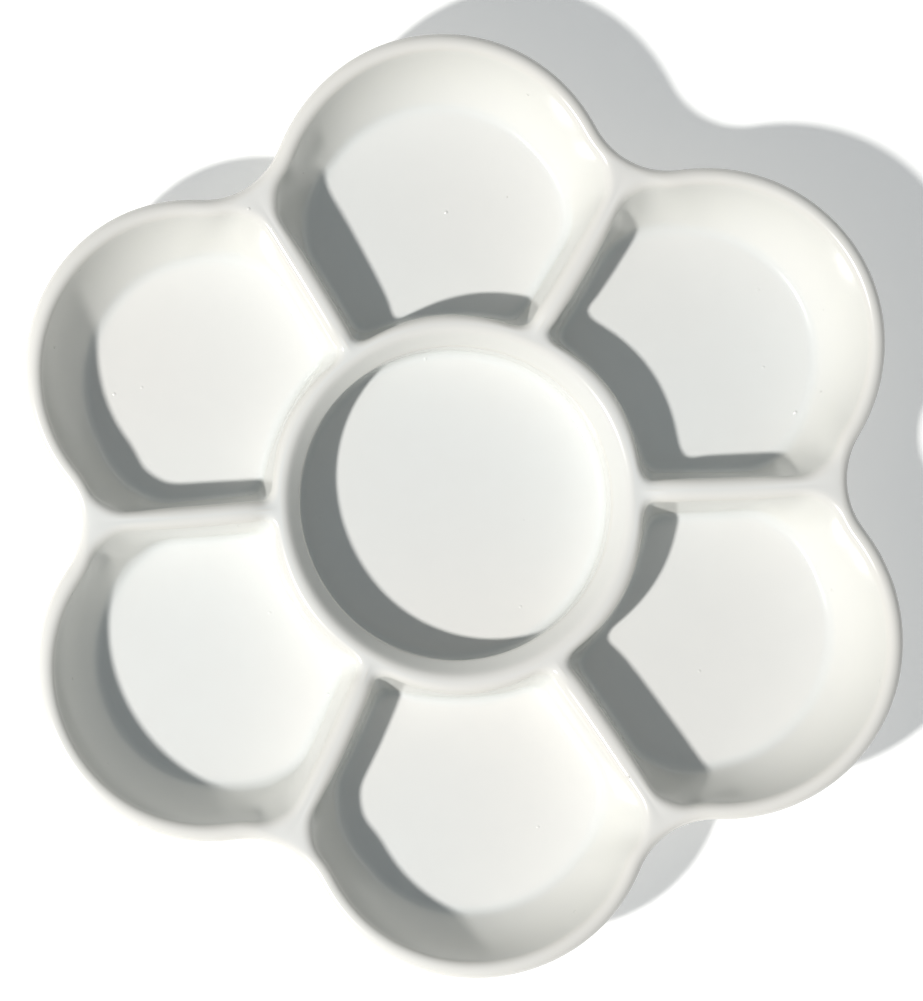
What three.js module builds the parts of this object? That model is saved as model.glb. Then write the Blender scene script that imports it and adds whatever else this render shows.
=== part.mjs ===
// A flower-shaped porcelain mixing palette: six petal wells round a round centre well.
// It is one fired piece, so its solids are its real layers: the clay body, which stands on a
// bare foot ring, the glaze coat over the wells and the outer wall, and the glaze inside the foot.
//
// Millimetres, +Z up. The origin is the middle of the face that the palette rests on.
// A spoke, the wall between two petals, runs along +X. One petal's axis is 30 degrees from it.
import * as THREE from "three";

// The outline, seen from above: a round lobe for each petal, with a fillet in each notch.
const PETALS = 6;
const LOBE_CENTRE = 51.9; // from the palette's axis to the middle of a lobe
const LOBE_RADIUS = 30.6;
const NOTCH_RADIUS = 14;

// Heights above the table.
const CENTRE_FLOOR = 5.0;
const PETAL_FLOOR = 7.0;
const RING_CREST = 18.4; // the wall round the centre well
const SPOKE_CREST = 19.1; // a spoke just beyond the ring
const SPOKE_CREST_REACH = 5.0; // how soon it rises to that
const NOTCH_CREST = 21.2; // the rim where it meets a spoke
const TIP_CREST = 23.2; // the rim at the end of a petal

// Walls. A run is the level distance from a wall's crest to the flat floor beside it.
const RING_RADIUS = 31.45;
const RING_INNER_RUN = 5.45;
const RING_OUTER_RUN = 3.85;
const SPOKE_RUN = 5.0;
const RIM_RUN = 11.1;
const SHELF = 0.3; // half the level width of the ring's and the spokes' crests
const LIP_ROUND = 1.6; // rounding of the rim's crest
const WALL_ROUND = 1.7; // rounding of the ring's and the spokes' crests
const JUNCTION_ROUND = 2.3; // rounding where a spoke meets the rim
const BEVEL_RUN = 1.9; // level width of the bevel at the top of the centre well's wall
const BEVEL_SLOPE = THREE.MathUtils.degToRad(51);
const WALL_FILLET = 1.6; // between the floor and a spoke or the ring
const RIM_FILLET = 3.0; // between the floor and the rim's wall
const RIM_BOW = THREE.MathUtils.degToRad(13); // how much steeper the rim's wall is at its top
const JUNCTION_REACH = 5.0; // how far a junction's rounding spreads along the crests
const FILLET_REACH = 9.0; // and how far its fillet does

// Corner radii, seen from above: of a petal well's mouth, where its wall starts, and its floor.
const MOUTH_RING_CORNER = 2.8;
const MOUTH_NOTCH_CORNER = 7.5;
const FLOOR_RING_CORNER = 2.4;
const FLOOR_NOTCH_CORNER = 8.0;
const FLOOR_BOW = 22.0; // radius of the floor's side along the rim

// The outer wall and the foot it stands on.
const BASE_INSET = 9.0; // how far the foot's outer edge lies inside the outline
const GLAZE_LINE = 1.3; // the height at which the outer glaze stops
const FOOT_WIDTH = 3.4;
const FOOT_BEVEL = 0.4;
const RECESS_SLOPE = 1.6; // level width of the slope from the foot up to the underside
const RECESS_HEIGHT = 1.8;
const GLAZE = 0.4; // thickness of the glaze
const BOND = 0.05; // kept clear between glaze and clay, where the real ones are fused

// How finely each stretch of half a petal is divided.
const RING_STEPS = 4;
const RING_CORNER_STEPS = 2;
const SIDE_STEPS = 2;
const NOTCH_CORNER_STEPS = 3;
const NOTCH_MOUTH_STEPS = 2;
const NOTCH_STEPS = 2;
const LOBE_STEPS = 6;
const CREST_STEPS = 2;
const WALL_STEPS = 2;
const FILLET_STEPS = 2;
const OUTER_WALL_STEPS = 3;

const UP = new THREE.Vector3(0, 0, 1);
const SECTOR = (2 * Math.PI) / PETALS;
const PETAL_AXIS = SECTOR / 2;
const TO_SPOKE = -Math.PI / 2; // the direction from a petal straight to the spoke along +X

const origin = new THREE.Vector2();

// The middle of the lobe nearest +X, and of the notch fillet that touches it.
const lobe = onPetalAxis(LOBE_CENTRE);
const notch = beside(lobe, LOBE_RADIUS + NOTCH_RADIUS, 0);
const spokeEnd = new THREE.Vector2(notch.x - NOTCH_RADIUS - LIP_ROUND, 0);

// Where a petal well's mouth and its floor's edge run beside the ring, and the middles of their
// rounded corners. The bow is the floor's side along the rim.
const mouthSide = RING_RADIUS + SHELF;
const floorSide = RING_RADIUS + RING_OUTER_RUN;
const mouthRing = beside(origin, mouthSide + MOUTH_RING_CORNER, SHELF + MOUTH_RING_CORNER);
const floorRing = beside(origin, floorSide + FLOOR_RING_CORNER, SPOKE_RUN + FLOOR_RING_CORNER);
const bow = onPetalAxis(LOBE_CENTRE + LOBE_RADIUS - LIP_ROUND - RIM_RUN - FLOOR_BOW);
const floorNotch = beside(bow, FLOOR_BOW - FLOOR_NOTCH_CORNER, SPOKE_RUN + FLOOR_NOTCH_CORNER);
const mouthNotch = beside(
  notch,
  NOTCH_RADIUS + LIP_ROUND + MOUTH_NOTCH_CORNER,
  SHELF + MOUTH_NOTCH_CORNER,
  -1,
);

// Directions from the arcs' middles: where two arcs touch, and the middle of each corner.
const lobeTouch = direction(notch, lobe);
const mouthRingTouch = direction(origin, mouthRing);
const floorRingTouch = direction(origin, floorRing);
const mouthNotchTouch = direction(notch, mouthNotch);
const bowTouch = direction(bow, floorNotch);
const mouthRingMiddle = (mouthRingTouch - Math.PI + TO_SPOKE) / 2;
const floorRingMiddle = (floorRingTouch - Math.PI + TO_SPOKE) / 2;
const mouthNotchMiddle = (TO_SPOKE + mouthNotchTouch - Math.PI) / 2;
const floorNotchMiddle = direction(bow, spokeEnd);

function direction(from, to) {
  return Math.atan2(to.y - from.y, to.x - from.x);
}

function onPetalAxis(distance) {
  return new THREE.Vector2(Math.cos(PETAL_AXIS), Math.sin(PETAL_AXIS)).multiplyScalar(distance);
}

// The point at this distance from the middle with this y, to its right or (side -1) its left.
function beside(middle, reach, y, side = 1) {
  return new THREE.Vector2(middle.x + side * Math.sqrt(reach ** 2 - (y - middle.y) ** 2), y);
}

// ---- Plan curves. Each covers half a sector, from a spoke's line to the petal's axis. ----

function arc(centre, radius, from, to) {
  return new THREE.EllipseCurve(centre.x, centre.y, radius, radius, from, to, to < from);
}

function joined(curves) {
  const path = new THREE.CurvePath();
  curves.forEach((curve) => path.add(curve));
  return path;
}

// The outline moved inwards: the same directions from the same centres, at other radii.
function rimHalf(inset) {
  const hollow = NOTCH_RADIUS + inset;
  const beforeTouch = arc(notch, hollow, Math.PI, mouthNotchTouch);
  const afterTouch = arc(notch, hollow, mouthNotchTouch, lobeTouch);
  const round = arc(lobe, LOBE_RADIUS - inset, lobeTouch - Math.PI, PETAL_AXIS);
  return [
    ...beforeTouch.getPoints(NOTCH_MOUTH_STEPS),
    ...afterTouch.getPoints(NOTCH_STEPS).slice(1),
    ...round.getPoints(LOBE_STEPS).slice(1),
  ];
}

function ringHalf(radius) {
  return arc(origin, radius, 0, PETAL_AXIS).getPoints(RING_STEPS);
}

// A line beside the spoke, at this distance from its middle.
function besideSpoke(from, to, y) {
  return new THREE.LineCurve(new THREE.Vector2(from, y), new THREE.Vector2(to, y));
}

// ---- Half a petal's wall in plan, from the ring along the spoke to the petal's tip. ----
// Each stretch matches points on the wall's crest with points on the well's mouth, where the
// wall starts to fall, and points on the floor's edge.

function matched(crests, mouths, edgeCurves) {
  const edges = joined(edgeCurves).getSpacedPoints(crests.length - 1);
  return crests.map((crest, i) => ({ crest, mouth: mouths[i], edge: edges[i] }));
}

function alongRing() {
  const mouth = joined([
    arc(origin, mouthSide, PETAL_AXIS, mouthRingTouch),
    arc(mouthRing, MOUTH_RING_CORNER, mouthRingTouch - Math.PI, mouthRingMiddle),
  ]);
  return matched(ringHalf(RING_RADIUS).reverse(), mouth.getSpacedPoints(RING_STEPS), [
    arc(origin, floorSide, PETAL_AXIS, floorRingTouch),
    arc(floorRing, FLOOR_RING_CORNER, floorRingTouch - Math.PI, floorRingMiddle),
  ]);
}

function inRingCorner() {
  const crest = besideSpoke(RING_RADIUS, floorRing.x, 0).getPoints(RING_CORNER_STEPS);
  const mouth = joined([
    arc(mouthRing, MOUTH_RING_CORNER, mouthRingMiddle, TO_SPOKE),
    besideSpoke(mouthRing.x, floorRing.x, SHELF),
  ]);
  return matched(crest, mouth.getSpacedPoints(RING_CORNER_STEPS), [
    arc(floorRing, FLOOR_RING_CORNER, floorRingMiddle, TO_SPOKE),
  ]);
}

function alongSpoke() {
  const [crest, mouth] = [0, SHELF].map((y) =>
    besideSpoke(floorRing.x, floorNotch.x, y).getPoints(SIDE_STEPS),
  );
  return matched(crest, mouth, [besideSpoke(floorRing.x, floorNotch.x, SPOKE_RUN)]);
}

function inNotchCorner() {
  const crest = besideSpoke(floorNotch.x, spokeEnd.x, 0).getPoints(NOTCH_CORNER_STEPS);
  const mouth = joined([
    besideSpoke(floorNotch.x, mouthNotch.x, SHELF),
    arc(mouthNotch, MOUTH_NOTCH_CORNER, TO_SPOKE, mouthNotchMiddle),
  ]);
  return matched(crest, mouth.getSpacedPoints(NOTCH_CORNER_STEPS), [
    arc(floorNotch, FLOOR_NOTCH_CORNER, TO_SPOKE, bowTouch),
    arc(bow, FLOOR_BOW, bowTouch, floorNotchMiddle),
  ]);
}

// Past its corner beside the notch, the mouth is on the rim's crest.
function alongRim() {
  const crest = rimHalf(LIP_ROUND);
  const touch = mouthNotchTouch - Math.PI;
  const corner = arc(mouthNotch, MOUTH_NOTCH_CORNER, mouthNotchMiddle, touch);
  const mouth = [...corner.getPoints(NOTCH_MOUTH_STEPS), ...crest.slice(NOTCH_MOUTH_STEPS + 1)];
  return matched(crest, mouth, [arc(bow, FLOOR_BOW, floorNotchMiddle, PETAL_AXIS)]);
}

function petalHalf() {
  const stretches = [alongRing(), inRingCorner(), alongSpoke(), inNotchCorner()];
  return [...stretches.flatMap((stretch) => stretch.slice(0, -1)), ...alongRim()];
}

// ---- Heights and wall sections. ----

function isOnSpoke(point) {
  return Math.abs(point.y) < 1e-6;
}

// The spokes rise quickly from the ring and slowly to the rim. The rim rises from notch to tip.
function crestHeight(point) {
  const beyond = point.length() - RING_RADIUS;
  if (beyond < 1e-6) {
    return RING_CREST;
  }
  if (isOnSpoke(point)) {
    const step = 1 - Math.exp(-((beyond / SPOKE_CREST_REACH) ** 2));
    const along = beyond / (spokeEnd.x - RING_RADIUS);
    return RING_CREST + (SPOKE_CREST - RING_CREST) * step + (NOTCH_CREST - SPOKE_CREST) * along;
  }
  const wave = (1 - Math.cos(PETALS * direction(origin, point))) / 2;
  return NOTCH_CREST + (TIP_CREST - NOTCH_CREST) * wave;
}

// A wall's crest is rounder, and its fillet larger, near the junction of spoke and rim. The
// rim's wall has a bowed side.
function wallRounding(point) {
  const away = point.distanceTo(spokeEnd);
  const onRim = point.length() > RING_RADIUS + 1e-6 && !isOnSpoke(point);
  const round = onRim ? LIP_ROUND : WALL_ROUND;
  const fillet = onRim ? RIM_FILLET : WALL_FILLET;
  return {
    round: round + (JUNCTION_ROUND - round) * Math.exp(-away / JUNCTION_REACH),
    fillet: fillet + (RIM_FILLET - fillet) * Math.exp(-away / FILLET_REACH),
    bow: onRim ? RIM_BOW * (1 - Math.exp(-away / JUNCTION_REACH)) : 0,
  };
}

// How far across and down a round surface goes as its slope turns from level.
function turnedBy(radius, turn) {
  return [radius * Math.sin(turn), radius * (1 - Math.cos(turn))];
}

// A wall in section, from its crest to the floor: a round crest, a side and a fillet. Gives
// [level distance from the crest, drop below the crest] pairs. The side is straight, or bowed so
// that it is steeper at its top and gentler at its foot. The crest's rounding starts level, or at
// a slope that the wall has already reached.
function wallSection(run, drop, { round, fillet, bow = 0 }, start = 0) {
  const [acrossBefore, dropBefore] = turnedBy(round, start);
  const wholeRun = run + acrossBefore;
  const fall = drop + dropBefore - round - fillet;
  const slope =
    Math.atan2(fall, wholeRun) + Math.asin((round + fillet) / Math.hypot(wholeRun, fall));
  const section = [];
  for (let i = 0; i <= CREST_STEPS; i++) {
    const turn = start + ((slope + bow - start) * i) / CREST_STEPS;
    const [across, down] = turnedBy(round, turn);
    section.push([across - acrossBefore, down - dropBefore]);
  }
  const [top, topDrop] = section.at(-1);
  const [footAcross, footDown] = turnedBy(fillet, slope - bow);
  const [sideRun, sideDrop] = [run - footAcross - top, drop - footDown - topDrop];
  for (let i = 1; i < WALL_STEPS; i++) {
    const share = i / WALL_STEPS;
    const sag = Math.tan(bow) * share * (1 - share);
    section.push([
      top + sideRun * share - sideDrop * sag,
      topDrop + sideDrop * share + sideRun * sag,
    ]);
  }
  for (let i = 0; i <= FILLET_STEPS; i++) {
    const [across, down] = turnedBy(fillet, (slope - bow) * (1 - i / FILLET_STEPS));
    section.push([run - across, drop - down]);
  }
  return section;
}

// The same, with a gentle bevel between the crest and the side.
function bevelledSection(run, drop, rounding) {
  const [crestAcross, crestDrop] = turnedBy(rounding.round, BEVEL_SLOPE);
  const endAcross = crestAcross + BEVEL_RUN;
  const endDrop = crestDrop + BEVEL_RUN * Math.tan(BEVEL_SLOPE);
  const side = wallSection(run - endAcross, drop - endDrop, rounding, BEVEL_SLOPE);
  return [
    [0, 0],
    turnedBy(rounding.round, BEVEL_SLOPE / 2),
    [crestAcross, crestDrop],
    ...side.map(([across, down]) => [endAcross + across, endDrop + down]),
  ];
}

// ---- Skins: sheets of triangles whose shared vertices are stored once. ----

class Skin {
  points = [];
  triangles = [];
  #known = new Map();

  vertex(point) {
    const key = [point.x, point.y, point.z].map((value) => Math.round(value * 1e4)).join();
    if (!this.#known.has(key)) {
      this.#known.set(key, this.points.length);
      this.points.push(point);
    }
    return this.#known.get(key);
  }

  triangle(a, b, c) {
    const corners = [a, b, c].map((point) => this.vertex(point));
    if (new Set(corners).size === 3) {
      this.triangles.push(corners);
    }
  }

  // Joins two closed loops that have the same number of points. Seen from the side that the
  // strip faces, the first loop runs anticlockwise round the second.
  strip(outer, inner) {
    outer.forEach((point, i) => {
      const next = (i + 1) % outer.length;
      this.triangle(point, outer[next], inner[next]);
      this.triangle(point, inner[next], inner[i]);
    });
  }

  strips(loops) {
    loops.slice(1).forEach((loop, i) => this.strip(loops[i], loop));
  }

  fan(loop, middle) {
    loop.forEach((point, i) => this.triangle(point, loop[(i + 1) % loop.length], middle));
  }

  add(other, facing = 1) {
    for (const corners of other.triangles) {
      const [a, b, c] = corners.map((corner) => other.points[corner]);
      this.triangle(a, facing > 0 ? b : c, facing > 0 ? c : b);
    }
  }

  geometry() {
    const geometry = new THREE.BufferGeometry();
    const positions = this.points.flatMap((point) => point.toArray());
    geometry.setAttribute("position", new THREE.Float32BufferAttribute(positions, 3));
    geometry.setIndex(this.triangles.flat());
    geometry.computeVertexNormals();
    return geometry;
  }

  // The same skin deeper in: each vertex moved against its normal. Gives the new skin, and at(),
  // which finds the place that a point of this skin has moved to.
  sunk(depth) {
    const normals = this.geometry().getAttribute("normal");
    const moved = this.points.map((point, i) => {
      const normal = new THREE.Vector3().fromBufferAttribute(normals, i);
      return point.clone().addScaledVector(normal, -depth);
    });
    const below = new Skin();
    for (const corners of this.triangles) {
      below.triangle(...corners.map((corner) => moved[corner]));
    }
    return { skin: below, at: (point) => moved[this.vertex(point)] };
  }
}

// ---- Loops made from half a sector. ----

function lift(points, height) {
  return points.map((point) => new THREE.Vector3(point.x, point.y, height));
}

function turned(loop, sector) {
  return loop.map((point) => point.clone().applyAxisAngle(UP, sector * SECTOR));
}

// Half a sector and its mirror image across the petal's axis.
function wholeSector(half) {
  const across = half.slice(1, -1).map(({ x, y, z }) => new THREE.Vector3(x, -y, z));
  return [...half, ...turned(across, 1).reverse()];
}

function roundPalette(half) {
  const sector = wholeSector(half);
  return Array.from({ length: PETALS }, (_, k) => turned(sector, k)).flat();
}

// ---- The glazed surfaces. ----

function petalWallLoops() {
  const columns = petalHalf().map(({ crest, mouth, edge }) => {
    const top = crestHeight(crest);
    const level = edge.clone().sub(mouth);
    const run = level.length();
    level.normalize();
    const wall = wallSection(run, top - PETAL_FLOOR, wallRounding(crest)).map(([across, drop]) => {
      const point = mouth.clone().addScaledVector(level, across);
      return new THREE.Vector3(point.x, point.y, top - drop);
    });
    return [new THREE.Vector3(crest.x, crest.y, top), ...wall];
  });
  return columns[0].map((_, row) => wholeSector(columns.map((column) => column[row])));
}

function addPetalWells(skin) {
  const loops = petalWallLoops();
  const middle = lift([onPetalAxis(LOBE_CENTRE)], PETAL_FLOOR);
  for (let k = 0; k < PETALS; k++) {
    const here = loops.map((loop) => turned(loop, k));
    skin.strips(here);
    skin.fan(here.at(-1), turned(middle, k)[0]);
  }
}

function addCentreWell(skin) {
  const rounding = { round: WALL_ROUND, fillet: WALL_FILLET };
  const run = RING_INNER_RUN - SHELF;
  const wall = bevelledSection(run, RING_CREST - CENTRE_FLOOR, rounding);
  const section = [[-SHELF, 0], ...wall];
  const loops = section.map(([across, drop]) =>
    roundPalette(lift(ringHalf(RING_RADIUS - SHELF - across), RING_CREST - drop)),
  );
  skin.strips(loops);
  skin.fan(loops.at(-1), new THREE.Vector3(0, 0, CENTRE_FLOOR));
}

// The outer wall, from the rim's crest over the lip and down to the glaze line. Below the lip
// it starts upright and curves in towards the foot.
function outerWallLoops() {
  const crestHeights = rimHalf(LIP_ROUND).map(crestHeight);
  const row = (inset, height) => {
    const points = rimHalf(inset).map(
      ({ x, y }, i) => new THREE.Vector3(x, y, height(crestHeights[i])),
    );
    return roundPalette(points);
  };
  const loops = [];
  for (let i = 0; i <= CREST_STEPS; i++) {
    const turn = ((Math.PI / 2) * i) / CREST_STEPS;
    const inset = LIP_ROUND * (1 - Math.sin(turn));
    loops.push(row(inset, (top) => top - LIP_ROUND * (1 - Math.cos(turn))));
  }
  // x is the inset, and y the share of the height that is left.
  const lean = new THREE.QuadraticBezierCurve(
    new THREE.Vector2(0, 1),
    new THREE.Vector2(BASE_INSET / 4, 1 / 3),
    new THREE.Vector2(BASE_INSET, 0),
  );
  for (const { x, y } of lean.getPoints(OUTER_WALL_STEPS).slice(1)) {
    loops.push(row(x, (top) => THREE.MathUtils.lerp(GLAZE_LINE, top - LIP_ROUND, y)));
  }
  return loops;
}

// Loops on the underside run the other way round, because they are seen from below.
function footLoop(inset, height) {
  return roundPalette(lift(rimHalf(inset), height)).reverse();
}

// The glazed underside inside the foot ring: a short slope, then a level face.
function recessLoops() {
  const start = BASE_INSET + FOOT_WIDTH + FOOT_BEVEL;
  return [footLoop(start, FOOT_BEVEL), footLoop(start + RECESS_SLOPE, RECESS_HEIGHT)];
}

// ---- The three layers. ----

function topSkin(wall) {
  const skin = new Skin();
  addPetalWells(skin);
  addCentreWell(skin);
  // The outer wall faces away from the axis, so its loops run from the foot to the crest.
  skin.strips([...wall].reverse());
  return skin;
}

function recessSkin(loops) {
  const skin = new Skin();
  skin.strips(loops);
  skin.fan(loops.at(-1), new THREE.Vector3(0, 0, RECESS_HEIGHT));
  return skin;
}

// A layer of glaze: its free face, its face on the clay, and the narrow edge between them.
function glazeLayer(skin, edge) {
  const back = skin.sunk(GLAZE);
  const layer = new Skin();
  layer.add(skin);
  layer.add(back.skin, -1);
  layer.strip(edge.map(back.at), edge);
  return layer;
}

// The clay: the faces under both glazes, joined by the bare foot ring.
function clayBody(top, topEdge, recess, recessEdge) {
  const underTop = top.sunk(GLAZE + BOND);
  const underRecess = recess.sunk(GLAZE + BOND);
  const body = new Skin();
  body.add(underTop.skin);
  body.add(underRecess.skin);
  body.strips([
    topEdge.map(underTop.at).reverse(),
    footLoop(BASE_INSET + FOOT_BEVEL, FOOT_BEVEL),
    footLoop(BASE_INSET + 2 * FOOT_BEVEL, 0),
    footLoop(BASE_INSET + FOOT_WIDTH, 0),
    recessEdge.map(underRecess.at),
  ]);
  return body;
}

function meshOf(name, skin, colour, roughness) {
  const material = new THREE.MeshStandardMaterial({ color: colour, roughness, metalness: 0 });
  const mesh = new THREE.Mesh(skin.geometry(), material);
  mesh.name = name;
  return mesh;
}

const wall = outerWallLoops();
const top = topSkin(wall);
const recessRows = recessLoops();
const recess = recessSkin(recessRows);

const palette = new THREE.Group();
palette.add(
  meshOf("clay_body", clayBody(top, wall.at(-1), recess, recessRows[0]), 0xe9e4da, 0.85),
  meshOf("glaze_coat", glazeLayer(top, wall.at(-1)), 0xf2f1ec, 0.08),
  meshOf("underside_glaze", glazeLayer(recess, recessRows[0]), 0xf2f1ec, 0.12),
);

export default palette;
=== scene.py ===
"""The looks of a flower-shaped porcelain mixing palette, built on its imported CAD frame.

The palette is one fired piece in three layers, so there are three meshes: the clay body, the
glaze over its wells and outer wall, and the glaze inside its foot ring. One fine closed surface
is made first, and the three layers are taken from it.

Lengths are in metres. A point in plan is a complex number, x + iy. A spoke, the wall between
two petals, runs along +x, and one petal's axis is 30 degrees from it. Everything is made for
the half sector between those two lines, and repeated with its mirror image six times.
"""

import cmath
import math

import bmesh
import bpy
import numpy as np
from mathutils import Matrix, Vector


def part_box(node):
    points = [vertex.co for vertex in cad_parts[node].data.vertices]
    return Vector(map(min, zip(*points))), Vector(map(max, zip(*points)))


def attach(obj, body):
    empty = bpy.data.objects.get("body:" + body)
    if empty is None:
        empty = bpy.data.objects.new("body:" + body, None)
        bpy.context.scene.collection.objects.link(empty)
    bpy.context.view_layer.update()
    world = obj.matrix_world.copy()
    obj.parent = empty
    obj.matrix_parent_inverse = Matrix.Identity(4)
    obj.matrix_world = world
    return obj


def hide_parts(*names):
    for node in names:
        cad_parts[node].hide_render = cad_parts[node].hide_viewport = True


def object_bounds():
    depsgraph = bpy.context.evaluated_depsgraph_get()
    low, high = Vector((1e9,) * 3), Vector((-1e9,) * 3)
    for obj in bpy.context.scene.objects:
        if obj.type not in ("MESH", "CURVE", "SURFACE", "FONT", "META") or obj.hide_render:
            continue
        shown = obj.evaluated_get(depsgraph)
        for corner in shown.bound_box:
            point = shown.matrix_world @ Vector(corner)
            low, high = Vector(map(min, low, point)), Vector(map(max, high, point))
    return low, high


MM = 0.001

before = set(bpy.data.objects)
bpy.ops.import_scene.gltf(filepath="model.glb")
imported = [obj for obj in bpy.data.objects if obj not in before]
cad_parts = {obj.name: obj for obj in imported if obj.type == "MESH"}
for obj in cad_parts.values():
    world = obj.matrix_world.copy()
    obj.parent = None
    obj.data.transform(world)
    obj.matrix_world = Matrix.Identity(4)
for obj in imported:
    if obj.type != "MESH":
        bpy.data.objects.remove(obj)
CAD_LOW, CAD_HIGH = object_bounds()
UNDERSIDE_LOW, UNDERSIDE_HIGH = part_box("underside_glaze")

# The outline, seen from above: a round lobe for each petal, with a fillet in each notch.
PETALS = 6
LOBE_RADIUS = 30.6 * MM
LOBE_DISTANCE = CAD_HIGH.y - LOBE_RADIUS  # from the palette's axis
NOTCH_RADIUS = 14.0 * MM

# Heights above the floor.
CENTRE_FLOOR = 5.0 * MM
PETAL_FLOOR = 7.0 * MM
RING_CREST = 18.4 * MM  # the wall round the centre well
SPOKE_CREST = 19.1 * MM  # a spoke just beyond the ring
SPOKE_CREST_REACH = 5.0 * MM  # how soon it rises to that
NOTCH_CREST = 21.2 * MM  # the rim where it meets a spoke
TIP_CREST = CAD_HIGH.z  # the rim at the end of a petal

# Walls. A run is the level distance from a wall's crest to the flat floor beside it.
RING_RADIUS = 31.45 * MM
RING_INNER_RUN = 5.45 * MM
RING_OUTER_RUN = 3.85 * MM
SPOKE_RUN = 5.0 * MM
RIM_RUN = 11.1 * MM
SHELF = 0.3 * MM  # half the level width of the ring's and the spokes' crests
LIP_ROUND = 1.6 * MM  # rounding of the rim's crest
WALL_ROUND = 1.7 * MM  # rounding of the ring's and the spokes' crests
JUNCTION_ROUND = 2.3 * MM  # rounding where a spoke meets the rim
BEVEL_RUN = 1.9 * MM  # level width of the bevel at the top of the centre well's wall
BEVEL_SLOPE = math.radians(51)
WALL_FILLET = 1.6 * MM  # between the floor and a spoke or the ring
RIM_FILLET = 3.0 * MM  # between the floor and the rim's wall
RIM_BOW = math.radians(13)  # how much steeper the rim's wall is at its top than in its middle
JUNCTION_REACH = 5.0 * MM  # how far a junction's rounding spreads along the crests
FILLET_REACH = 9.0 * MM  # and how far its fillet does

# Corner radii in plan: of a petal well's mouth, where its wall starts, and of its floor.
MOUTH_RING_CORNER = 2.8 * MM
MOUTH_NOTCH_CORNER = 7.5 * MM
FLOOR_RING_CORNER = 2.4 * MM
FLOOR_NOTCH_CORNER = 8.0 * MM
FLOOR_BOW = 22.0 * MM  # radius of the floor's side along the rim

# The outer wall, and the foot that it stands on.
GLAZE_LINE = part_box("glaze_coat")[0].z  # the height at which the outer glaze stops
FOOT_BEVEL = UNDERSIDE_LOW.z
FOOT_WIDTH = 3.4 * MM
BASE_INSET = CAD_HIGH.y - UNDERSIDE_HIGH.y - FOOT_WIDTH - FOOT_BEVEL
OUTER_WALL_PULL = (BASE_INSET / 4, 1 / 3)  # bends its curve: an inset, and a share of its height
RECESS_SLOPE = 1.6 * MM  # level width of the slope from the foot up to the underside
RECESS_CURVE = ((0, 0), (0.35, 0.45), (0.7, 0.85), (1, 1))  # shares of its width and height
GLAZE = 0.4 * MM  # thickness of the glaze
RECESS_HEIGHT = UNDERSIDE_HIGH.z - GLAZE
BOND = 0.05 * MM  # kept clear between glaze and clay, where the real ones are fused

# How this palette, shaped by hand, strays from a regular one.
CROWDING = 1.4 * MM  # the spokes crowd together on one side, moved by up to this much
CROWDED_SIDE = math.radians(172)
CENTRE_DRIFT = complex(-1.4, 1.0) * MM  # of the ring, off the palette's axis
CENTRE_REACH = 40.0 * MM  # how far out that is felt
WAVES = ((90 * MM, 0.25 * MM), (45 * MM, 0.09 * MM))  # lengths and heights of its unevenness
WAVE_SEED = 7

# How finely each stretch of half a petal, and each part of a wall's section, is divided.
RING_STEPS = 14
RING_CORNER_STEPS = 9
SIDE_STEPS = 10
NOTCH_CORNER_STEPS = 14
NOTCH_MOUTH_STEPS = 7
NOTCH_STEPS = 7
LOBE_STEPS = 26
SHELF_STEPS = 2
CREST_STEPS = 7
BEVEL_STEPS = 6
WALL_STEPS = 10
FILLET_STEPS = 7
FLOOR_STEPS = 8
OUTER_WALL_STEPS = 16
FOOT_STEPS = 4
CURVE_STEPS = 64  # for curves that are divided again afterwards
JOINING_DISTANCE = 0.01 * MM  # points this close become one
BLEND_FACTOR = 0.5  # how strongly the finished surface is smoothed
BLEND_ROUNDS = 6  # and how many times
SHARP_EDGE = math.radians(50)  # an edge that turns by more than this stays crisp
SHARPEST_BEND = 2 * LIP_ROUND  # the radius at which the stored bend reaches 1

SECTOR = 2 * math.pi / PETALS
PETAL_AXIS = SECTOR / 2
TO_SPOKE = -math.pi / 2  # the direction from a petal straight to the spoke

# The layers that each face of the closed surface belongs to.
TOP_GLAZE, BARE_CLAY, UNDERSIDE_GLAZE = range(3)


# ---- Plan curves ----


def direction(start, end):
    return cmath.phase(end - start)


def arc(centre, radius, start, stop, steps):
    return centre + radius * np.exp(1j * np.linspace(start, stop, steps + 1))


def bezier(start, pull, end, share):
    """A value on a curve from the start to the end that is bent by the pull between them."""
    return (1 - share) ** 2 * start + 2 * share * (1 - share) * pull + share**2 * end


def respaced(points, steps):
    """Points at equal distances along a finely divided curve."""
    travelled = np.concatenate([[0], np.cumsum(np.abs(np.diff(points)))])
    return np.interp(np.linspace(0, travelled[-1], steps + 1), travelled, points)


def beside(middle, reach, across):
    """The two points at this distance from the middle whose y is this."""
    along = math.sqrt(reach**2 - (across - middle.imag) ** 2)
    return complex(middle.real - along, across), complex(middle.real + along, across)


LOBE = cmath.rect(LOBE_DISTANCE, PETAL_AXIS)
_, NOTCH = beside(LOBE, LOBE_RADIUS + NOTCH_RADIUS, 0)
SPOKE_END = NOTCH.real - NOTCH_RADIUS - LIP_ROUND

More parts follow.
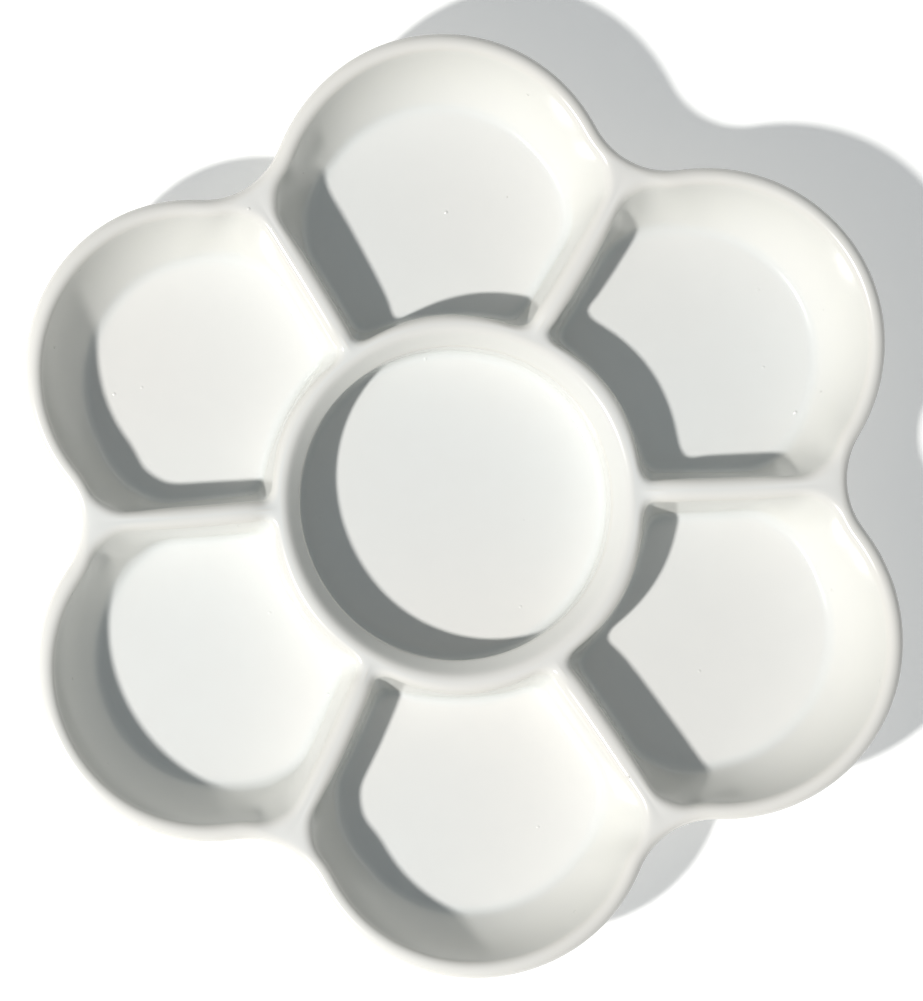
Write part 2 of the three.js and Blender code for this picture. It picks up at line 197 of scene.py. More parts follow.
# Where a petal well's mouth and its floor's edge run beside the ring, and the middles of their
# rounded corners. The bow is the floor's side along the rim.
MOUTH_SIDE = RING_RADIUS + SHELF
FLOOR_SIDE = RING_RADIUS + RING_OUTER_RUN
BOW = cmath.rect(CAD_HIGH.y - LIP_ROUND - RIM_RUN - FLOOR_BOW, PETAL_AXIS)
_, MOUTH_RING = beside(0j, MOUTH_SIDE + MOUTH_RING_CORNER, SHELF + MOUTH_RING_CORNER)
_, FLOOR_RING = beside(0j, FLOOR_SIDE + FLOOR_RING_CORNER, SPOKE_RUN + FLOOR_RING_CORNER)
_, FLOOR_NOTCH = beside(BOW, FLOOR_BOW - FLOOR_NOTCH_CORNER, SPOKE_RUN + FLOOR_NOTCH_CORNER)
MOUTH_NOTCH, _ = beside(
    NOTCH, NOTCH_RADIUS + LIP_ROUND + MOUTH_NOTCH_CORNER, SHELF + MOUTH_NOTCH_CORNER
)

# Directions from the arcs' middles: where two arcs touch, and the middle of each corner.
LOBE_TOUCH = direction(NOTCH, LOBE)
MOUTH_RING_TOUCH = direction(0, MOUTH_RING)
FLOOR_RING_TOUCH = direction(0, FLOOR_RING)
MOUTH_NOTCH_TOUCH = direction(NOTCH, MOUTH_NOTCH)
BOW_TOUCH = direction(BOW, FLOOR_NOTCH)
MOUTH_RING_MIDDLE = (MOUTH_RING_TOUCH - math.pi + TO_SPOKE) / 2
FLOOR_RING_MIDDLE = (FLOOR_RING_TOUCH - math.pi + TO_SPOKE) / 2
MOUTH_NOTCH_MIDDLE = (TO_SPOKE + MOUTH_NOTCH_TOUCH - math.pi) / 2
FLOOR_NOTCH_MIDDLE = direction(BOW, SPOKE_END)


def rim_half(inset):
    """The outline moved inwards, from the notch to the petal's tip."""
    hollow = NOTCH_RADIUS + inset
    return np.concatenate([
        arc(NOTCH, hollow, math.pi, MOUTH_NOTCH_TOUCH, NOTCH_MOUTH_STEPS),
        arc(NOTCH, hollow, MOUTH_NOTCH_TOUCH, LOBE_TOUCH, NOTCH_STEPS)[1:],
        arc(LOBE, LOBE_RADIUS - inset, LOBE_TOUCH - math.pi, PETAL_AXIS, LOBE_STEPS)[1:],
    ])


def bend(centre, radius, start, stop):
    return arc(centre, radius, start, stop, CURVE_STEPS)


def line(start, stop, side=0.0, steps=CURVE_STEPS):
    """A line beside the spoke, at this distance from its middle."""
    return np.linspace(start, stop, steps + 1) + 1j * side


# ---- Half a petal's wall in plan, from the ring along the spoke to the petal's tip ----
#
# Each stretch gives three matching rows of points: on the wall's crest, on the well's mouth,
# where the wall starts to fall, and on the floor's edge.


def matched(crest, mouth, edge):
    """The crest's points, and as many at equal distances along each of the other curves."""
    steps = len(crest) - 1
    return crest, respaced(np.concatenate(mouth), steps), respaced(np.concatenate(edge), steps)


def along_ring():
    mouth = (
        bend(0, MOUTH_SIDE, PETAL_AXIS, MOUTH_RING_TOUCH),
        bend(MOUTH_RING, MOUTH_RING_CORNER, MOUTH_RING_TOUCH - math.pi, MOUTH_RING_MIDDLE),
    )
    edge = (
        bend(0, FLOOR_SIDE, PETAL_AXIS, FLOOR_RING_TOUCH),
        bend(FLOOR_RING, FLOOR_RING_CORNER, FLOOR_RING_TOUCH - math.pi, FLOOR_RING_MIDDLE),
    )
    return matched(arc(0, RING_RADIUS, PETAL_AXIS, 0, RING_STEPS), mouth, edge)


def in_ring_corner():
    start, stop = RING_RADIUS, FLOOR_RING.real
    mouth = (
        bend(MOUTH_RING, MOUTH_RING_CORNER, MOUTH_RING_MIDDLE, TO_SPOKE),
        line(MOUTH_RING.real, stop, SHELF),
    )
    edge = (bend(FLOOR_RING, FLOOR_RING_CORNER, FLOOR_RING_MIDDLE, TO_SPOKE),)
    return matched(line(start, stop, steps=RING_CORNER_STEPS), mouth, edge)


def along_spoke():
    start, stop = FLOOR_RING.real, FLOOR_NOTCH.real
    mouth = (line(start, stop, SHELF),)
    edge = (line(start, stop, SPOKE_RUN),)
    return matched(line(start, stop, steps=SIDE_STEPS), mouth, edge)


def in_notch_corner():
    start = FLOOR_NOTCH.real
    mouth = (
        line(start, MOUTH_NOTCH.real, SHELF),
        bend(MOUTH_NOTCH, MOUTH_NOTCH_CORNER, TO_SPOKE, MOUTH_NOTCH_MIDDLE),
    )
    edge = (
        bend(FLOOR_NOTCH, FLOOR_NOTCH_CORNER, TO_SPOKE, BOW_TOUCH),
        bend(BOW, FLOOR_BOW, BOW_TOUCH, FLOOR_NOTCH_MIDDLE),
    )
    return matched(line(start, SPOKE_END, steps=NOTCH_CORNER_STEPS), mouth, edge)


def along_rim():
    """Past its corner beside the notch, the mouth is on the rim's crest."""
    crest = rim_half(LIP_ROUND)
    touch = MOUTH_NOTCH_TOUCH - math.pi
    corner = bend(MOUTH_NOTCH, MOUTH_NOTCH_CORNER, MOUTH_NOTCH_MIDDLE, touch)
    corner = respaced(corner, NOTCH_MOUTH_STEPS)
    mouth = np.concatenate([corner, crest[NOTCH_MOUTH_STEPS + 1 :]])
    edge = respaced(bend(BOW, FLOOR_BOW, FLOOR_NOTCH_MIDDLE, PETAL_AXIS), len(crest) - 1)
    return crest, mouth, edge


def petal_half():
    """The crest, the mouth and the floor's edge, each from the ring to the petal's tip."""
    stretches = [along_ring(), in_ring_corner(), along_spoke(), in_notch_corner()]
    parts = [[row[:-1] for row in stretch] for stretch in stretches]
    parts.append(along_rim())
    return [np.concatenate(rows) for rows in zip(*parts)]


# ---- Heights and wall sections ----


def crest_height(crest):
    """The spokes rise quickly from the ring and slowly to the rim, which rises to the tips."""
    beyond = np.abs(crest) - RING_RADIUS
    step = (SPOKE_CREST - RING_CREST) * (1 - np.exp(-((beyond / SPOKE_CREST_REACH) ** 2)))
    spoke = RING_CREST + step + (NOTCH_CREST - SPOKE_CREST) * beyond / (SPOKE_END - RING_RADIUS)
    wave = (1 - np.cos(PETALS * np.angle(crest))) / 2
    rim = NOTCH_CREST + (TIP_CREST - NOTCH_CREST) * wave
    return np.where(np.abs(crest) > SPOKE_END, rim, spoke)


def wall_rounding(crest):
    """The radii of a wall's crest and fillet, and its side's bow.

    The radii are larger where a spoke meets the rim, and only the rim's wall is bowed.
    """
    away = np.abs(crest - SPOKE_END)
    on_rim = np.abs(crest) > SPOKE_END
    rounding = np.where(on_rim, LIP_ROUND, WALL_ROUND)
    fillet = np.where(on_rim, RIM_FILLET, WALL_FILLET)
    rounding = rounding + (JUNCTION_ROUND - rounding) * np.exp(-away / JUNCTION_REACH)
    fillet = fillet + (RIM_FILLET - fillet) * np.exp(-away / FILLET_REACH)
    bow = np.where(on_rim, RIM_BOW * (1 - np.exp(-away / JUNCTION_REACH)), 0)
    return rounding, fillet, bow


def turned_by(radius, turns):
    """How far across and down a round surface goes as its slope turns from level."""
    return radius * np.sin(turns), radius * (1 - np.cos(turns))


def wall_section(run, drop, rounding, fillet, bow=0.0, start=0.0):
    """A round crest, a side and a fillet: rows of distances across and down.

    The side is straight, or bowed so that it is steeper at its top and gentler at its foot.
    The crest's rounding starts level, or at a slope that the wall has already reached.
    """
    before_across, before_down = turned_by(rounding, start)
    run = run + before_across
    drop = drop + before_down
    fall = drop - rounding - fillet
    slope = np.arctan2(fall, run) + np.arcsin((rounding + fillet) / np.hypot(run, fall))
    turns = start + np.linspace(0, 1, CREST_STEPS + 1)[:, None] * (slope + bow - start)
    crest_across, crest_down = turned_by(rounding, turns)
    turns = np.linspace(1, 0, FILLET_STEPS + 1)[:, None] * (slope - bow)
    from_across, from_down = turned_by(fillet, turns)
    fillet_across, fillet_down = run - from_across, drop - from_down
    shares = np.linspace(0, 1, WALL_STEPS + 1)[1:-1, None]
    side_run = fillet_across[0] - crest_across[-1]
    side_drop = fillet_down[0] - crest_down[-1]
    sag = np.tan(bow) * shares * (1 - shares)
    side_across = crest_across[-1] + side_run * shares - side_drop * sag
    side_down = crest_down[-1] + side_drop * shares + side_run * sag
    across = np.concatenate([crest_across, side_across, fillet_across]) - before_across
    down = np.concatenate([crest_down, side_down, fillet_down]) - before_down
    return across, down


def bevelled_section(run, drop, rounding, fillet):
    """The same, with a bevel between the crest and the steeper side."""
    turns = np.linspace(0, BEVEL_SLOPE, CREST_STEPS // 2 + 1)[:, None] * np.ones_like(run)
    crest_across, crest_down = turned_by(rounding, turns)
    shares = np.linspace(0, 1, BEVEL_STEPS + 1)[1:, None]
    bevel_across = crest_across[-1] + BEVEL_RUN * shares
    bevel_down = crest_down[-1] + BEVEL_RUN * math.tan(BEVEL_SLOPE) * shares
    end_across, end_down = bevel_across[-1], bevel_down[-1]
    side_across, side_down = wall_section(
        run - end_across, drop - end_down, rounding, fillet, start=BEVEL_SLOPE
    )
    across = np.concatenate([crest_across, bevel_across, end_across + side_across[1:]])
    down = np.concatenate([crest_down, bevel_down, end_down + side_down[1:]])
    return across, down


# ---- The closed surface ----


class Surface:
    """Grids of points over half a sector, each repeated all round the palette."""

    def __init__(self):
        self.points = []
        self.faces = []
        self.layers = []

    def add(self, plan, height, layer):
        rows, columns = plan.shape
        height = np.broadcast_to(height, plan.shape)
        mirrored = np.conj(plan)[:, ::-1]
        corners = np.arange(rows * columns).reshape(rows, columns)
        quads = np.stack(
            [corners[:-1, :-1], corners[:-1, 1:], corners[1:, 1:], corners[1:, :-1]], axis=-1
        ).reshape(-1, 4)
        for sector in range(PETALS):
            turn = cmath.rect(1, sector * SECTOR)
            for half, level in ((plan, height), (mirrored, height[:, ::-1])):
                placed = half * turn
                points = np.stack([placed.real, placed.imag, level], axis=-1)
                self.faces += (quads + len(self.points)).tolist()
                self.layers += [layer] * len(quads)
                self.points += points.reshape(-1, 3).tolist()

    def mesh(self, name):
        """One closed mesh: the grids' shared edges are joined, and the faces point out."""
        mesh = bpy.data.meshes.new(name)
        mesh.from_pydata(self.points, [], self.faces)
        mesh.polygons.foreach_set("material_index", self.layers)
        joined = bmesh.new()
        joined.from_mesh(mesh)
        bmesh.ops.remove_doubles(joined, verts=joined.verts, dist=JOINING_DISTANCE)
        bmesh.ops.recalc_face_normals(joined, faces=joined.faces)
        joined.to_mesh(mesh)
        joined.free()
        return mesh


def spread_inwards(loop, middle, steps):
    """Rows from a loop to the point in its middle."""
    shares = np.linspace(0, 1, steps + 1)[:, None]
    return loop + (middle - loop) * shares


def add_wall(surface, crest, mouth, edge, top, floor, rounding, section=wall_section):
    """A level shelf from the crest to the mouth, and the wall from there to the floor."""
    shares = np.linspace(0, 1, SHELF_STEPS + 1)[:, None]
    surface.add(crest + (mouth - crest) * shares, top, TOP_GLAZE)
    run = np.abs(edge - mouth)
    across, down = section(run, top - floor, *rounding)
    surface.add(mouth + (edge - mouth) / run * across, top - down, TOP_GLAZE)


def add_petal_wells(surface):
    crest, mouth, edge = petal_half()
    rounding = wall_rounding(crest)
    add_wall(surface, crest, mouth, edge, crest_height(crest), PETAL_FLOOR, rounding)
    surface.add(spread_inwards(edge, LOBE, FLOOR_STEPS), PETAL_FLOOR, TOP_GLAZE)


def add_centre_well(surface):
    ring = arc(0, 1, 0, PETAL_AXIS, RING_STEPS)
    crest = ring * RING_RADIUS
    mouth = ring * (RING_RADIUS - SHELF)
    edge = ring * (RING_RADIUS - RING_INNER_RUN)
    rounding = (WALL_ROUND, WALL_FILLET)
    add_wall(
        surface, crest, mouth, edge, RING_CREST, CENTRE_FLOOR, rounding, bevelled_section
    )
    surface.add(spread_inwards(edge, 0, 2 * FLOOR_STEPS), CENTRE_FLOOR, TOP_GLAZE)


def add_outer_wall(surface):
    """From the rim's crest over the lip, and curving in down to the glaze line."""
    top = crest_height(rim_half(LIP_ROUND))
    plans, heights = [], []
    for turn in np.linspace(0, math.pi / 2, CREST_STEPS + 1):
        plans.append(rim_half(LIP_ROUND * (1 - math.sin(turn))))
        heights.append(top - LIP_ROUND * (1 - math.cos(turn)))
    pull_in, pull_down = OUTER_WALL_PULL
    for share in np.linspace(0, 1, OUTER_WALL_STEPS + 1)[1:]:
        plans.append(rim_half(bezier(0, pull_in, BASE_INSET, share)))
        height_left = bezier(1, pull_down, 0, share)
        heights.append(GLAZE_LINE + (top - LIP_ROUND - GLAZE_LINE) * height_left)
    surface.add(np.array(plans), np.array(heights), TOP_GLAZE)


def add_rim_rows(surface, rows, layer):
    """Rows of (inset, height) below the outline."""
    plan = np.array([rim_half(inset) for inset, _ in rows])
    height = np.array([[height] for _, height in rows])
    surface.add(plan, height, layer)


def add_underside(surface):
    """The bare foot ring, and the glazed recess inside it."""
    outer = BASE_INSET + 2 * FOOT_BEVEL
    inner = BASE_INSET + FOOT_WIDTH
    recess = inner + FOOT_BEVEL
    foot = [(BASE_INSET, GLAZE_LINE), (BASE_INSET + FOOT_BEVEL, FOOT_BEVEL)]
    foot += [(inset, 0) for inset in np.linspace(outer, inner, FOOT_STEPS + 1)]
    foot += [(recess, FOOT_BEVEL)]
    add_rim_rows(surface, foot, BARE_CLAY)
    slope = [
        (recess + RECESS_SLOPE * share, FOOT_BEVEL + (RECESS_HEIGHT - FOOT_BEVEL) * rise)
        for share, rise in RECESS_CURVE
    ]
    add_rim_rows(surface, slope, UNDERSIDE_GLAZE)
    inside = rim_half(recess + RECESS_SLOPE)
    surface.add(spread_inwards(inside, 0, 2 * FLOOR_STEPS), RECESS_HEIGHT, UNDERSIDE_GLAZE)


def add_object(name, mesh):
    obj = bpy.data.objects.new(name, mesh)
    bpy.context.scene.collection.objects.link(obj)
    return obj


def apply_modifiers(obj):
    bpy.context.view_layer.update()
    graph = bpy.context.evaluated_depsgraph_get()
    obj.data = bpy.data.meshes.new_from_object(obj.evaluated_get(graph))
    obj.modifiers.clear()


def closed_surface():
    surface = Surface()
    add_petal_wells(surface)
    add_centre_well(surface)
    add_outer_wall(surface)
    add_underside(surface)
    obj = add_object("palette_surface", surface.mesh("palette_surface"))
    blended = obj.modifiers.new("blended", "SMOOTH")
    blended.factor = BLEND_FACTOR
    blended.iterations = BLEND_ROUNDS
    apply_modifiers(obj)
    return obj


# ---- The three layers ----


def vertex_array(mesh, attribute):
    values = np.empty(len(mesh.vertices) * 3)
    mesh.vertices.foreach_get(attribute, values)
    return values.reshape(-1, 3)


def face_list(mesh, layer):
    """The faces of one layer, or all of them."""
    return [
        tuple(face.vertices) for face in mesh.polygons if layer in (None, face.material_index)
    ]


def hand_made(points):
    """Moves points a little, as shaping by hand and firing do. The foot stays flat."""
    plan = points[:, 0] + 1j * points[:, 1]
    shift = CROWDING * np.sin(CROWDED_SIDE - np.angle(plan))
    plan = plan * np.exp(1j * shift / np.maximum(np.abs(plan), RING_RADIUS))
    plan += CENTRE_DRIFT * np.exp(-((np.abs(plan) / CENTRE_REACH) ** 4))
    moved = np.stack([plan.real, plan.imag, points[:, 2]], axis=-1)
    rng = np.random.default_rng(WAVE_SEED)
    for wavelength, amount in WAVES:
        for axis in range(3):
            angle = rng.uniform(0, 2 * math.pi)
            wave = np.array([math.cos(angle), math.sin(angle)]) * 2 * math.pi / wavelength
            phase = rng.uniform(0, 2 * math.pi)
            lift = np.clip(points[:, 2] / PETAL_FLOOR, 0, 1)
            moved[:, axis] += amount * lift * np.sin(points[:, :2] @ wave + phase)
    return moved


def mesh_of(name, points, faces):
    """A mesh of just the points that these faces use, and which points those are."""
    used = sorted({corner for face in faces for corner in face})
    place = {corner: number for number, corner in enumerate(used)}
    mesh = bpy.data.meshes.new(name)
    renumbered = [[place[corner] for corner in face] for face in faces]
    mesh.from_pydata(points[used].tolist(), [], renumbered)
    return mesh, used


def store_bend(mesh):
    """Stores how sharply the surface bends at each vertex: 1 on a crest, -1 in a fillet."""
    points = vertex_array(mesh, "co")
    normals = vertex_array(mesh, "normal")
    ends = np.empty(len(mesh.edges) * 2, int)
    mesh.edges.foreach_get("vertices", ends)
    start, end = ends.reshape(-1, 2).T
    along = points[end] - points[start]
    turn = np.einsum("ij,ij->i", normals[end] - normals[start], along)
    bend = turn / np.einsum("ij,ij->i", along, along)
    total = np.bincount(ends, np.repeat(bend, 2), len(points))
    count = np.bincount(ends, minlength=len(points))
    attribute = mesh.attributes.new("bend", "FLOAT", "POINT")
    attribute.data.foreach_set("value", np.clip(total / count * SHARPEST_BEND, -1, 1))


def finish_piece(obj, node, material):
    """Smooth faces with crisp edges, and the piece's place in the frame."""
    mesh = obj.data
    mesh.materials.clear()
    mesh.materials.append(material)
    mesh.polygons.foreach_set("material_index", [0] * len(mesh.polygons))
    mesh.shade_smooth()
    mesh.set_sharp_from_angle(angle=SHARP_EDGE)
    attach(obj, "root")
    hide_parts(node)


def glaze_layer(name, points, faces):
    """A thin closed shell whose free face is these faces, and the normals they have."""
    mesh, used = mesh_of(name, points, faces)
    store_bend(mesh)
    normals = vertex_array(mesh, "normal")
    obj = add_object(name, mesh)
    shell = obj.modifiers.new("thickness", "SOLIDIFY")
    shell.thickness = GLAZE
    shell.offset = -1
    apply_modifiers(obj)
    return obj, used, normals


def build_layers():
    whole = closed_surface()
    points = hand_made(vertex_array(whole.data, "co"))
    clay_points = points.copy()
    shells = []
    for name, layer in (("glaze_shell", TOP_GLAZE), ("foot_recess_glaze", UNDERSIDE_GLAZE)):
        obj, used, normals = glaze_layer(name, points, face_list(whole.data, layer))
        clay_points[used] = points[used] - (GLAZE + BOND) * normals
        shells.append(obj)
    mesh, _ = mesh_of("clay_core", clay_points, face_list(whole.data, None))
    bpy.data.objects.remove(whole)
    store_bend(mesh)
    return [*shells, add_object("clay_core", mesh)]


# ---- Materials ----

# Colours are linear, and each has an alpha.
GLAZE_COOL = (0.80, 0.81, 0.80, 1)
GLAZE_WARM = (0.82, 0.808, 0.785, 1)
# painted warm bounce light on the walls, as if light thrown up from the lit floors warms them
GLAZE_PAINTED_WALL_BOUNCE = (0.805, 0.803, 0.765, 1)
GLAZE_ON_CRESTS = (0.80, 0.775, 0.73, 1)
GLAZE_IN_FILLETS = (0.76, 0.79, 0.785, 1)
GLAZE_CLOUD = (0.78, 0.775, 0.76, 1)
PINHOLE = (0.28, 0.25, 0.21, 1)
CLAY_DARK = (0.66, 0.62, 0.55, 1)
CLAY_LIGHT = (0.74, 0.71, 0.65, 1)
CLAY_SOILED = (0.42, 0.38, 0.32, 1)
CLAY_SPECK = (0.30, 0.22, 0.15, 1)
FLOOR_DARK = (0.86, 0.86, 0.855, 1)
FLOOR_LIGHT = (0.89, 0.89, 0.89, 1)

# The roughness of each surface, from its glossiest to its dullest spots.
TOP_GLOSS = (0.14, 0.24)
UNDERSIDE_GLOSS = (0.08, 0.2)
CLAY_ROUGHNESS = (0.78, 0.95)
FLOOR_ROUGHNESS = (0.6, 0.7)
GLAZE_IOR = 1.52

# The relief of the glaze. A share is that of the cells, one spacing wide, that have a spot.
RIPPLE_LENGTH, RIPPLE_HEIGHT = 7 * MM, 0.03 * MM
GRAIN_SPACING, GRAIN_RADIUS, GRAIN_HEIGHT, GRAIN_SHARE = 5 * MM, 0.35 * MM, 0.15 * MM, 0.2
PINHOLE_SPACING, PINHOLE_RADIUS, PINHOLE_DEPTH = 11 * MM, 0.28 * MM, 0.08 * MM
TOP_PINHOLES = 0.1
UNDERSIDE_PINHOLES = 0.3

# Where each tint fades in, and its full strength. The walls' warm tint is painted warm bounce
# light, not a colour of the glaze; walls are told by how far up their normal points, crests and
# fillets by the stored bend.
WALL_NORMALS = (0.95, 0.45)
CREST_BENDS, CREST_TINT = (0.25, 0.9), 0.55
FILLET_BENDS, FILLET_TINT = (-0.15, -0.9), 0.6
CLOUD_LENGTH, CLOUD_TINT = 5 * MM, 0.25
DRIFT_LENGTH = 70 * MM  # of the slow change between cool and warm white

# The bare clay: its grain and specks, and the heights between which its soiling fades out.
CLAY_GRAIN, CLAY_GRAIN_HEIGHT = 0.35 * MM, 0.05 * MM
CLAY_LUMPS, CLAY_LUMP_HEIGHT = 3 * MM, 0.06 * MM
SPECK_SPACING, SPECK_RADIUS, SPECK_SHARE = 1.8 * MM, 0.12 * MM, 0.12
SOIL_BASE, SOIL_TOP = 0.02 * MM, 0.35 * MM
SOIL_TINT = 0.5

NOISE_LOW, NOISE_HIGH = 0.3, 0.7  # nearly all of a noise's values lie between these


class Shader:
    """A material's node tree, with short ways of adding to it. Feature sizes are metres."""

    def __init__(self, name):
        self.material = bpy.data.materials.new(name)
        self.material.use_nodes = True
        self.tree = self.material.node_tree
        self.principled = self.tree.nodes["Principled BSDF"]
        self.place = self.node("ShaderNodeTexCoord").outputs["Object"]

    def node(self, kind, inputs=None, **settings):
        node = self.tree.nodes.new(kind)
        for name, value in settings.items():
            setattr(node, name, value)
        for name, value in (inputs or {}).items():
            self.feed(node.inputs[name], value)
        return node

    def feed(self, socket, value):
        if isinstance(value, bpy.types.NodeSocket):
            self.tree.links.new(value, socket)
        else:
            socket.default_value = value

    def noise(self, size, detail):
        inputs = {"Vector": self.place, "Scale": 1 / size, "Detail": detail}
        return self.node("ShaderNodeTexNoise", inputs).outputs["Fac"]

    def height(self, direction):
        """The z of a direction or place."""
        return self.node("ShaderNodeSeparateXYZ", {"Vector": direction}).outputs["Z"]

    def between(self, value, low, high, result_low=0.0, result_high=1.0):
        """Maps a value from one range to another, and keeps it inside."""
        inputs = {
            "Value": value,
            "From Min": low,
            "From Max": high,
            "To Min": result_low,
            "To Max": result_high,
        }
        return self.node("ShaderNodeMapRange", inputs).outputs["Result"]

    def patches(self, size, detail, low=0.0, high=1.0):
        """Noise spread over a range of values."""
        return self.between(self.noise(size, detail), NOISE_LOW, NOISE_HIGH, low, high)

    def blend(self, share, first, second):
        node = self.node("ShaderNodeMix", data_type="RGBA")
        self.feed(node.inputs["Factor"], share)
        self.feed(node.inputs[6], first)
        self.feed(node.inputs[7], second)
        return node.outputs[2]

    def calculate(self, operation, first, second):
        node = self.node("ShaderNodeMath", operation=operation)
        self.feed(node.inputs[0], first)
        self.feed(node.inputs[1], second)
        return node.outputs[0]

    def spots(self, spacing, radius, share):
        """1 in small round spots, one in a given share of cells of this spacing."""
        inputs = {"Vector": self.place, "Scale": 1 / spacing}
        cells = self.node("ShaderNodeTexVoronoi", inputs)
        near = self.between(cells.outputs["Distance"], 0.0, radius / spacing, 1.0, 0.0)
        picked = self.node("ShaderNodeSeparateColor", {"Color": cells.outputs["Color"]})
        chosen = self.calculate("LESS_THAN", picked.outputs["Red"], share)
        return self.calculate("MULTIPLY", near, chosen)

    def bump(self, height, depth, before=None):
        """Bumps of this depth in metres, on top of earlier ones."""
        inputs = {"Height": height, "Distance": depth, "Strength": 1.0}
        if before is not None:
            inputs["Normal"] = before
        return self.node("ShaderNodeBump", inputs).outputs["Normal"]

    def set(self, **inputs):
        for name, value in inputs.items():
            self.feed(self.principled.inputs[name.replace("_", " ")], value)


def glaze_colour(shader):
    """White: warm where the glaze is thin, on crests, and cool where it pools. The walls get a
    painted warm bounce light.
    """
    drift = shader.between(shader.noise(DRIFT_LENGTH, 1.0), 0.35, 0.65)
    colour = shader.blend(drift, GLAZE_COOL, GLAZE_WARM)
    normal = shader.node("ShaderNodeNewGeometry").outputs["Normal"]
    # Painted warm bounce light: steep walls are tinted warmer, as if lit by light thrown up from
    # the lit floors.
    steep = shader.between(shader.height(normal), *WALL_NORMALS)
    colour = shader.blend(steep, colour, GLAZE_PAINTED_WALL_BOUNCE)
    bend = shader.node("ShaderNodeAttribute", attribute_name="bend").outputs["Fac"]
    thin = shader.between(bend, *CREST_BENDS, 0.0, CREST_TINT)
    colour = shader.blend(thin, colour, GLAZE_ON_CRESTS)
    pooled = shader.between(bend, *FILLET_BENDS, 0.0, FILLET_TINT)
    colour = shader.blend(pooled, colour, GLAZE_IN_FILLETS)
    clouds = shader.patches(CLOUD_LENGTH, 4.0, 0.0, CLOUD_TINT)
    return shader.blend(clouds, colour, GLAZE_CLOUD)


def glaze_material(name, gloss, pinholes):
    """Glossy white glaze, a little wavy, with a few pinholes and raised grains."""
    shader = Shader(name)
    pits = shader.spots(PINHOLE_SPACING, PINHOLE_RADIUS, pinholes)
    grains = shader.spots(GRAIN_SPACING, GRAIN_RADIUS, GRAIN_SHARE)
    colour = shader.blend(pits, glaze_colour(shader), PINHOLE)
    rough = shader.patches(14 * MM, 3.0, *gloss)
    skin = shader.bump(shader.noise(RIPPLE_LENGTH, 1.5), RIPPLE_HEIGHT)
    skin = shader.bump(grains, GRAIN_HEIGHT, skin)
    skin = shader.bump(shader.calculate("SUBTRACT", 1.0, pits), PINHOLE_DEPTH, skin)
    shader.set(Base_Color=colour, Roughness=rough, IOR=GLAZE_IOR, Normal=skin)
    return shader.material


def clay_material():
    """Fired clay without glaze, a little soiled where the foot rubs."""
    shader = Shader("bare_fired_clay")
    colour = shader.blend(shader.patches(18 * MM, 4.0), CLAY_DARK, CLAY_LIGHT)
    low = shader.between(shader.height(shader.place), SOIL_TOP, SOIL_BASE)
    rubbed = shader.between(shader.noise(4 * MM, 5.0), 0.42, 0.68, 0.0, SOIL_TINT)
    colour = shader.blend(shader.calculate("MULTIPLY", low, rubbed), colour, CLAY_SOILED)
    specks = shader.spots(SPECK_SPACING, SPECK_RADIUS, SPECK_SHARE)
    colour = shader.blend(specks, colour, CLAY_SPECK)

    grain = shader.noise(CLAY_GRAIN, 6.0)
    rough = shader.between(grain, NOISE_LOW, NOISE_HIGH, *CLAY_ROUGHNESS)
    skin = shader.bump(grain, CLAY_GRAIN_HEIGHT)
    skin = shader.bump(shader.noise(CLAY_LUMPS, 3.0), CLAY_LUMP_HEIGHT, skin)
    shader.set(Base_Color=colour, Roughness=rough, Normal=skin)
    return shader.material


def floor_material():
    """A matt pale floor that glows a little, so that the palette's shadow on it stays pale."""
    shader = Shader("pale_floor")
    colour = shader.blend(shader.patches(0.4, 3.0), FLOOR_DARK, FLOOR_LIGHT)
    rough = shader.patches(0.03, 3.0, *FLOOR_ROUGHNESS)
    skin = shader.bump(shader.noise(1.5 * MM, 3.0), 0.01 * MM)
    shader.set(Base_Color=colour, Roughness=rough, Normal=skin)
    shader.set(Emission_Color=colour, Emission_Strength=FLOOR_GLOW)
    return shader.material


# ---- The studio ----

# How the photograph was taken: the camera is almost overhead, a little to one side.
CAMERA_SIDE = math.radians(206.75)
CAMERA_ELEVATION = math.radians(84.7)
CAMERA_DISTANCE = 0.978
PICTURE_UP = math.radians(86.75)
PICTURE_HEIGHT = 174.1 * MM  # how much of the rim's level the picture spans
AIM_SHIFT = 0.78 * MM  # the palette stands this far right of and below the picture's middle

# The light: a small strong key, whose shadows are nearly as crisp as the sun's, and a soft
# surround, which is warm near the horizon and cool overhead.
KEY_SIDE = math.radians(207.5)
KEY_ELEVATION = math.radians(50)
KEY_DISTANCE = 1.3
KEY_SIZE = 0.07
KEY_POWER = 16.4
KEY_COLOUR = (1.0, 0.985, 0.955)
HORIZON_COLOUR = (1.01, 0.97, 0.87, 1)
OVERHEAD_COLOUR = (0.83, 0.97, 1.07, 1)
SURROUND_STRENGTH = 0.23

FLOOR_SIDE_LENGTH = 6.0
FLOOR_GLOW = 0.35


def towards(side, elevation):
    level = math.cos(elevation)
    return Vector((level * math.cos(side), level * math.sin(side), math.sin(elevation)))


def looking(place, target, up):
    """The matrix of a camera or light at one place that faces another."""
    back = (place - target).normalized()
    right = up.cross(back).normalized()
    turned = Matrix((right, back.cross(right), back)).transposed().to_4x4()
    return Matrix.Translation(place) @ turned


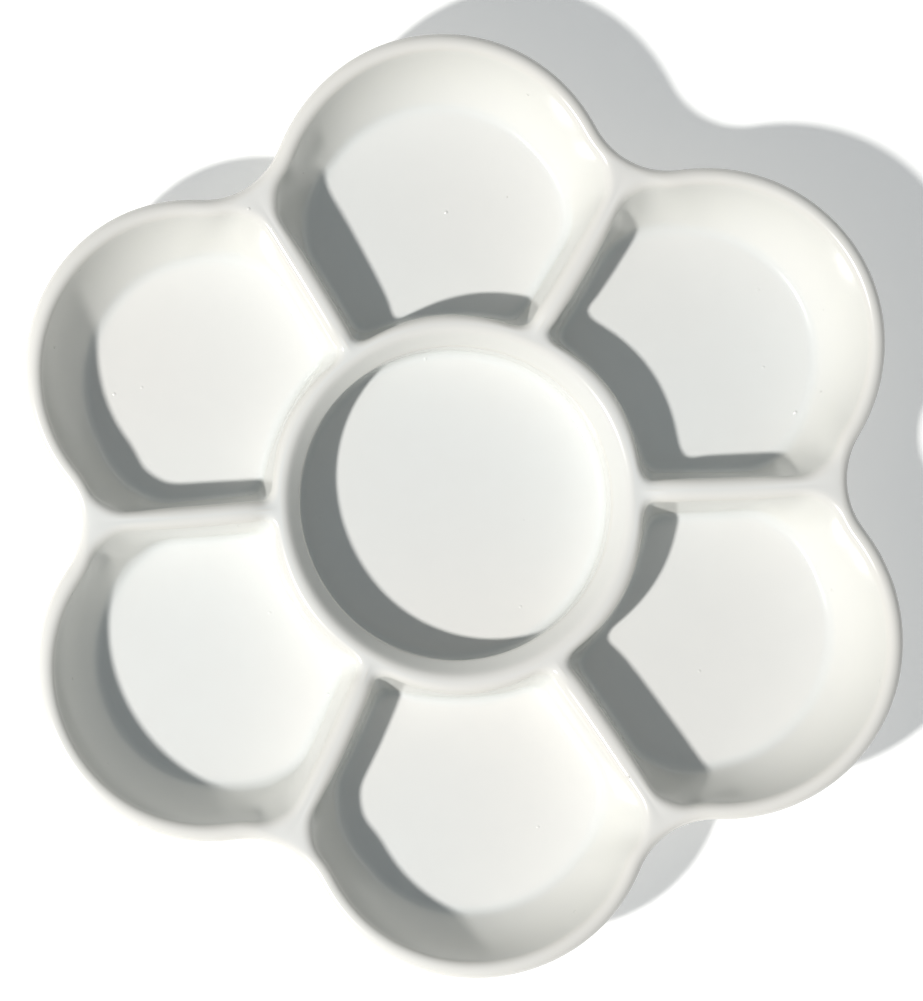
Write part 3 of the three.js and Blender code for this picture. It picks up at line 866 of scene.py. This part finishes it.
def add_camera():
    rim = Vector((0, 0, (NOTCH_CREST + TIP_CREST) / 2))
    back = towards(CAMERA_SIDE, CAMERA_ELEVATION)
    up = towards(PICTURE_UP, 0)
    right = up.cross(back).normalized()
    aim = rim + AIM_SHIFT * (back.cross(right) - right)
    data = bpy.data.cameras.new("camera")
    data.lens = data.sensor_width * CAMERA_DISTANCE / PICTURE_HEIGHT
    camera = add_object("camera", data)
    camera.matrix_world = looking(aim + back * CAMERA_DISTANCE, aim, up)
    bpy.context.scene.camera = camera


def add_key():
    data = bpy.data.lights.new("key", "AREA")
    data.shape = "DISK"
    data.size = KEY_SIZE
    data.energy = KEY_POWER
    data.color = KEY_COLOUR
    key = add_object("key", data)
    place = towards(KEY_SIDE, KEY_ELEVATION) * KEY_DISTANCE
    key.matrix_world = looking(place, Vector((0, 0, 0)), Vector((0, 0, 1)))


def add_floor():
    floor = bmesh.new()
    bmesh.ops.create_grid(floor, x_segments=8, y_segments=8, size=FLOOR_SIDE_LENGTH / 2)
    mesh = bpy.data.meshes.new("floor")
    floor.to_mesh(mesh)
    floor.free()
    mesh.materials.append(floor_material())
    add_object("floor", mesh)


def add_surround():
    world = bpy.data.worlds.new("studio")
    world.use_nodes = True
    nodes, links = world.node_tree.nodes, world.node_tree.links
    place = nodes.new("ShaderNodeTexCoord").outputs["Generated"]
    split = nodes.new("ShaderNodeSeparateXYZ")
    blend = nodes.new("ShaderNodeValToRGB")
    horizon, overhead = blend.color_ramp.elements
    horizon.color = HORIZON_COLOUR
    overhead.color = OVERHEAD_COLOUR
    links.new(place, split.inputs["Vector"])
    links.new(split.outputs["Z"], blend.inputs["Fac"])
    links.new(blend.outputs["Color"], nodes["Background"].inputs["Color"])
    nodes["Background"].inputs["Strength"].default_value = SURROUND_STRENGTH
    bpy.context.scene.world = world
    bpy.context.scene.view_settings.view_transform = "Standard"


def build_studio():
    add_floor()
    add_surround()
    add_key()
    add_camera()


glaze_shell, recess_glaze, clay_core = build_layers()
top_glaze = glaze_material("white_glaze", TOP_GLOSS, TOP_PINHOLES)
under_glaze = glaze_material("white_underside_glaze", UNDERSIDE_GLOSS, UNDERSIDE_PINHOLES)
finish_piece(glaze_shell, "glaze_coat", top_glaze)
finish_piece(recess_glaze, "underside_glaze", under_glaze)
finish_piece(clay_core, "clay_body", clay_material())
build_studio()
